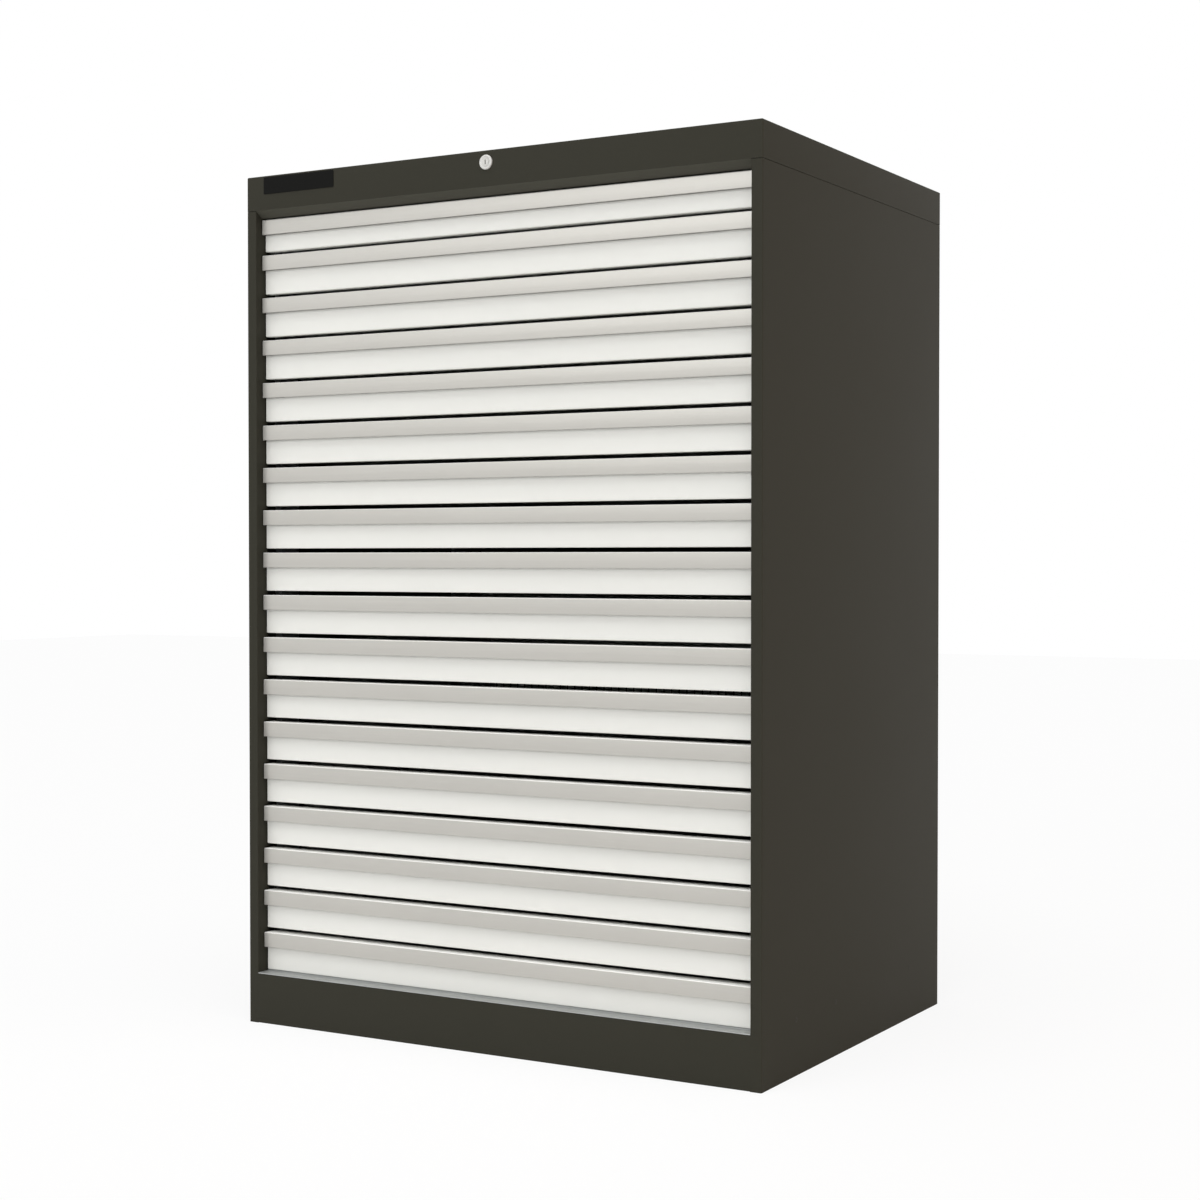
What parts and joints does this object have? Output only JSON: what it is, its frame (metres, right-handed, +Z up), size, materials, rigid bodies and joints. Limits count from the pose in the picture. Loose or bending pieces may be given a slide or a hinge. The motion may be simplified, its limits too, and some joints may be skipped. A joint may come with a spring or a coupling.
{
  "type": "heavy-duty drawer cabinet",
  "caption": "Free-standing steel workshop cabinet with a stack of shallow full-extension drawers, full-width handles and a central lock.",
  "frame": {"origin": "centre of the base on the floor", "axes": "+X to the right seen from the front, +Y to the back, +Z up"},
  "size_m": [1.01, 0.758, 1.5],
  "materials": {
    "housing": "fine satin powder coat, dark olive grey",
    "drawers": "fine satin powder coat, light grey",
    "zinc": "zinc plated sheet",
    "lock": "satin chrome"
  },
  "bodies": {
    "housing": {"side_panel_right": "housing", "side_panel_left": "housing", "rear_panel": "housing", "top_cover": "housing", "header_rail": "housing", "floor_panel": "zinc", "plinth_front": "housing", "base_beam_right": "zinc", "base_beam_left": "zinc", "base_rear": "zinc", "post_front_right": "zinc", "post_front_left": "zinc", "post_rear_right": "zinc", "post_rear_left": "zinc", "rails_right": "zinc", "rails_left": "zinc", "lock_body": "lock", "lock_bar_guides": "zinc", "lock_rod_guides": "zinc"},
    "drawer_body_01": {"drawer_01": "drawers"},
    "carriage_body_01": {"carriage_01": "zinc"},
    "drawer_body_02": {"drawer_02": "drawers"},
    "carriage_body_02": {"carriage_02": "zinc"},
    "drawer_body_03": {"drawer_03": "drawers"},
    "carriage_body_03": {"carriage_03": "zinc"},
    "drawer_body_04": {"drawer_04": "drawers"},
    "carriage_body_04": {"carriage_04": "zinc"},
    "drawer_body_05": {"drawer_05": "drawers"},
    "carriage_body_05": {"carriage_05": "zinc"},
    "drawer_body_06": {"drawer_06": "drawers"},
    "carriage_body_06": {"carriage_06": "zinc"},
    "drawer_body_07": {"drawer_07": "drawers"},
    "carriage_body_07": {"carriage_07": "zinc"},
    "drawer_body_08": {"drawer_08": "drawers"},
    "carriage_body_08": {"carriage_08": "zinc"},
    "drawer_body_09": {"drawer_09": "drawers"},
    "carriage_body_09": {"carriage_09": "zinc"},
    "drawer_body_10": {"drawer_10": "drawers"},
    "carriage_body_10": {"carriage_10": "zinc"},
    "drawer_body_11": {"drawer_11": "drawers"},
    "carriage_body_11": {"carriage_11": "zinc"},
    "drawer_body_12": {"drawer_12": "drawers"},
    "carriage_body_12": {"carriage_12": "zinc"},
    "drawer_body_13": {"drawer_13": "drawers"},
    "carriage_body_13": {"carriage_13": "zinc"},
    "drawer_body_14": {"drawer_14": "drawers"},
    "carriage_body_14": {"carriage_14": "zinc"},
    "drawer_body_15": {"drawer_15": "drawers"},
    "carriage_body_15": {"carriage_15": "zinc"},
    "drawer_body_16": {"drawer_16": "drawers"},
    "carriage_body_16": {"carriage_16": "zinc"},
    "drawer_body_17": {"drawer_17": "drawers"},
    "carriage_body_17": {"carriage_17": "zinc"},
    "drawer_body_18": {"drawer_18": "drawers"},
    "carriage_body_18": {"carriage_18": "zinc"},
    "lock_plug_body": {"lock_plug": "lock"},
    "lock_rod_body": {"lock_rod": "zinc"},
    "lock_bar_body": {"lock_bar": "zinc"}
  },
  "joints": [
    {"name": "drawer_01_slide", "type": "slide", "parent": "housing", "child": "drawer_body_01", "axis": [0, -1, 0], "range_m": [0, 0.672]},
    {"name": "carriage_01_slide", "type": "slide", "parent": "housing", "child": "carriage_body_01", "axis": [0, -1, 0], "range_m": [0, 0.336]},
    {"name": "drawer_02_slide", "type": "slide", "parent": "housing", "child": "drawer_body_02", "axis": [0, -1, 0], "range_m": [0, 0.672]},
    {"name": "carriage_02_slide", "type": "slide", "parent": "housing", "child": "carriage_body_02", "axis": [0, -1, 0], "range_m": [0, 0.336]},
    {"name": "drawer_03_slide", "type": "slide", "parent": "housing", "child": "drawer_body_03", "axis": [0, -1, 0], "range_m": [0, 0.672]},
    {"name": "carriage_03_slide", "type": "slide", "parent": "housing", "child": "carriage_body_03", "axis": [0, -1, 0], "range_m": [0, 0.336]},
    {"name": "drawer_04_slide", "type": "slide", "parent": "housing", "child": "drawer_body_04", "axis": [0, -1, 0], "range_m": [0, 0.672]},
    {"name": "carriage_04_slide", "type": "slide", "parent": "housing", "child": "carriage_body_04", "axis": [0, -1, 0], "range_m": [0, 0.336]},
    {"name": "drawer_05_slide", "type": "slide", "parent": "housing", "child": "drawer_body_05", "axis": [0, -1, 0], "range_m": [0, 0.672]},
    {"name": "carriage_05_slide", "type": "slide", "parent": "housing", "child": "carriage_body_05", "axis": [0, -1, 0], "range_m": [0, 0.336]},
    {"name": "drawer_06_slide", "type": "slide", "parent": "housing", "child": "drawer_body_06", "axis": [0, -1, 0], "range_m": [0, 0.672]},
    {"name": "carriage_06_slide", "type": "slide", "parent": "housing", "child": "carriage_body_06", "axis": [0, -1, 0], "range_m": [0, 0.336]},
    {"name": "drawer_07_slide", "type": "slide", "parent": "housing", "child": "drawer_body_07", "axis": [0, -1, 0], "range_m": [0, 0.672]},
    {"name": "carriage_07_slide", "type": "slide", "parent": "housing", "child": "carriage_body_07", "axis": [0, -1, 0], "range_m": [0, 0.336]},
    {"name": "drawer_08_slide", "type": "slide", "parent": "housing", "child": "drawer_body_08", "axis": [0, -1, 0], "range_m": [0, 0.672]},
    {"name": "carriage_08_slide", "type": "slide", "parent": "housing", "child": "carriage_body_08", "axis": [0, -1, 0], "range_m": [0, 0.336]},
    {"name": "drawer_09_slide", "type": "slide", "parent": "housing", "child": "drawer_body_09", "axis": [0, -1, 0], "range_m": [0, 0.672]},
    {"name": "carriage_09_slide", "type": "slide", "parent": "housing", "child": "carriage_body_09", "axis": [0, -1, 0], "range_m": [0, 0.336]},
    {"name": "drawer_10_slide", "type": "slide", "parent": "housing", "child": "drawer_body_10", "axis": [0, -1, 0], "range_m": [0, 0.672]},
    {"name": "carriage_10_slide", "type": "slide", "parent": "housing", "child": "carriage_body_10", "axis": [0, -1, 0], "range_m": [0, 0.336]},
    {"name": "drawer_11_slide", "type": "slide", "parent": "housing", "child": "drawer_body_11", "axis": [0, -1, 0], "range_m": [0, 0.672]},
    {"name": "carriage_11_slide", "type": "slide", "parent": "housing", "child": "carriage_body_11", "axis": [0, -1, 0], "range_m": [0, 0.336]},
    {"name": "drawer_12_slide", "type": "slide", "parent": "housing", "child": "drawer_body_12", "axis": [0, -1, 0], "range_m": [0, 0.672]},
    {"name": "carriage_12_slide", "type": "slide", "parent": "housing", "child": "carriage_body_12", "axis": [0, -1, 0], "range_m": [0, 0.336]},
    {"name": "drawer_13_slide", "type": "slide", "parent": "housing", "child": "drawer_body_13", "axis": [0, -1, 0], "range_m": [0, 0.672]},
    {"name": "carriage_13_slide", "type": "slide", "parent": "housing", "child": "carriage_body_13", "axis": [0, -1, 0], "range_m": [0, 0.336]},
    {"name": "drawer_14_slide", "type": "slide", "parent": "housing", "child": "drawer_body_14", "axis": [0, -1, 0], "range_m": [0, 0.672]},
    {"name": "carriage_14_slide", "type": "slide", "parent": "housing", "child": "carriage_body_14", "axis": [0, -1, 0], "range_m": [0, 0.336]},
    {"name": "drawer_15_slide", "type": "slide", "parent": "housing", "child": "drawer_body_15", "axis": [0, -1, 0], "range_m": [0, 0.672]},
    {"name": "carriage_15_slide", "type": "slide", "parent": "housing", "child": "carriage_body_15", "axis": [0, -1, 0], "range_m": [0, 0.336]},
    {"name": "drawer_16_slide", "type": "slide", "parent": "housing", "child": "drawer_body_16", "axis": [0, -1, 0], "range_m": [0, 0.672]},
    {"name": "carriage_16_slide", "type": "slide", "parent": "housing", "child": "carriage_body_16", "axis": [0, -1, 0], "range_m": [0, 0.336]},
    {"name": "drawer_17_slide", "type": "slide", "parent": "housing", "child": "drawer_body_17", "axis": [0, -1, 0], "range_m": [0, 0.672]},
    {"name": "carriage_17_slide", "type": "slide", "parent": "housing", "child": "carriage_body_17", "axis": [0, -1, 0], "range_m": [0, 0.336]},
    {"name": "drawer_18_slide", "type": "slide", "parent": "housing", "child": "drawer_body_18", "axis": [0, -1, 0], "range_m": [0, 0.672]},
    {"name": "carriage_18_slide", "type": "slide", "parent": "housing", "child": "carriage_body_18", "axis": [0, -1, 0], "range_m": [0, 0.336]},
    {"name": "lock_turn", "type": "hinge", "parent": "housing", "child": "lock_plug_body", "pos_m": [0, -0.3775, 1.48], "axis": [0, 1, 0], "range_deg": [0, 90]},
    {"name": "lock_rod_slide", "type": "slide", "parent": "housing", "child": "lock_rod_body", "axis": [-1, 0, 0], "range_m": [0, 0.01131]},
    {"name": "lock_bar_slide", "type": "slide", "parent": "housing", "child": "lock_bar_body", "axis": [0, 0, -1], "range_m": [0, 0.01131]}
  ],
  "couplings": [
    {"joint": "carriage_01_slide", "follows": "drawer_01_slide", "ratio": 0.5},
    {"joint": "carriage_02_slide", "follows": "drawer_02_slide", "ratio": 0.5},
    {"joint": "carriage_03_slide", "follows": "drawer_03_slide", "ratio": 0.5},
    {"joint": "carriage_04_slide", "follows": "drawer_04_slide", "ratio": 0.5},
    {"joint": "carriage_05_slide", "follows": "drawer_05_slide", "ratio": 0.5},
    {"joint": "carriage_06_slide", "follows": "drawer_06_slide", "ratio": 0.5},
    {"joint": "carriage_07_slide", "follows": "drawer_07_slide", "ratio": 0.5},
    {"joint": "carriage_08_slide", "follows": "drawer_08_slide", "ratio": 0.5},
    {"joint": "carriage_09_slide", "follows": "drawer_09_slide", "ratio": 0.5},
    {"joint": "carriage_10_slide", "follows": "drawer_10_slide", "ratio": 0.5},
    {"joint": "carriage_11_slide", "follows": "drawer_11_slide", "ratio": 0.5},
    {"joint": "carriage_12_slide", "follows": "drawer_12_slide", "ratio": 0.5},
    {"joint": "carriage_13_slide", "follows": "drawer_13_slide", "ratio": 0.5},
    {"joint": "carriage_14_slide", "follows": "drawer_14_slide", "ratio": 0.5},
    {"joint": "carriage_15_slide", "follows": "drawer_15_slide", "ratio": 0.5},
    {"joint": "carriage_16_slide", "follows": "drawer_16_slide", "ratio": 0.5},
    {"joint": "carriage_17_slide", "follows": "drawer_17_slide", "ratio": 0.5},
    {"joint": "carriage_18_slide", "follows": "drawer_18_slide", "ratio": 0.5},
    {"joint": "lock_turn", "follows": "lock_bar_slide", "rad_per_m": 138.84},
    {"joint": "lock_rod_slide", "follows": "lock_bar_slide", "ratio": 1}
  ]
}
